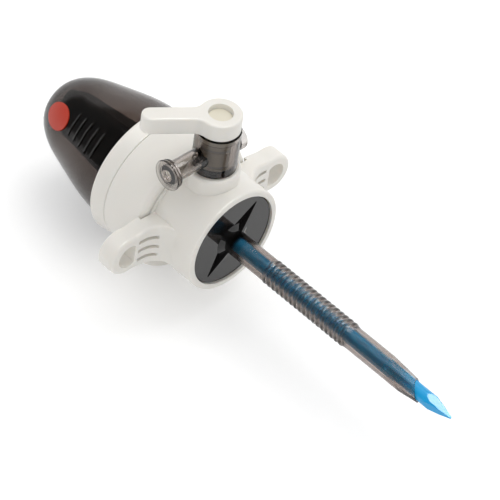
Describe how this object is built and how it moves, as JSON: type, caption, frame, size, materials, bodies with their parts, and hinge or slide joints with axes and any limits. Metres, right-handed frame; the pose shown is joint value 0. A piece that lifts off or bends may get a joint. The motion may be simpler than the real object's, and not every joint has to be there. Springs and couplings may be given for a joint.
{
  "type": "laparoscopic trocar",
  "caption": "Bladeless laparoscopic trocar: smoked ribbed cannula with finger wings, gas stopcock, twist-off seal cap and a domed obturator that slides out.",
  "frame": {"origin": "on the cannula's axis, in the front face of the cannula's disc", "axes": "+X along the cannula to its tip, +Z towards the stopcock, Y along the two finger wings"},
  "size_m": [0.1776, 0.077, 0.0683],
  "materials": {
    "white_plastic": "satin moulded",
    "smoked_plastic": "see-through, polished",
    "smoked_dome": "see-through, polished",
    "core_plastic": "dark, satin",
    "marker_plastic": "orange-red, plain",
    "shaft_plastic": "blue, satin",
    "tip_plastic": "bright blue, polished",
    "ivory_plastic": "ivory, satin",
    "silicone": "milky silicone",
    "black_rubber": "O-ring rubber"
  },
  "bodies": {
    "cannula_unit": {"cannula_housing": "white_plastic", "cannula": "smoked_plastic", "cannula_o_ring": "black_rubber", "duckbill_valve": "silicone", "duckbill_clamp": "white_plastic", "cap_o_ring": "black_rubber", "stopcock_body": "smoked_plastic", "plug_gland": "ivory_plastic", "nipple_o_ring": "silicone"},
    "seal_unit": {"seal_cap": "white_plastic", "seal_guide": "white_plastic", "instrument_seal": "silicone", "seal_retainer": "white_plastic"},
    "obturator": {"obturator_base": "white_plastic", "obturator_dome": "smoked_dome", "obturator_core": "core_plastic", "size_marker": "marker_plastic", "obturator_shaft": "shaft_plastic", "obturator_tip": "tip_plastic"},
    "stopcock_handle": {"stopcock_plug": "ivory_plastic", "stopcock_lever": "white_plastic", "plug_o_rings": "silicone"}
  },
  "joints": [
    {"name": "seal_cap_twist", "type": "hinge", "parent": "cannula_unit", "child": "seal_unit", "pos_m": [-0.027, 0, 0], "axis": [1, 0, 0], "range_deg": [0, 20]},
    {"name": "obturator_slide", "type": "slide", "parent": "seal_unit", "child": "obturator", "axis": [-1, 0, 0], "range_m": [0, 0.13]},
    {"name": "stopcock_turn", "type": "hinge", "parent": "cannula_unit", "child": "stopcock_handle", "pos_m": [-0.0121, 0, 0.03], "axis": [0, 0, 1], "range_deg": [-54.5, 35.5]}
  ]
}
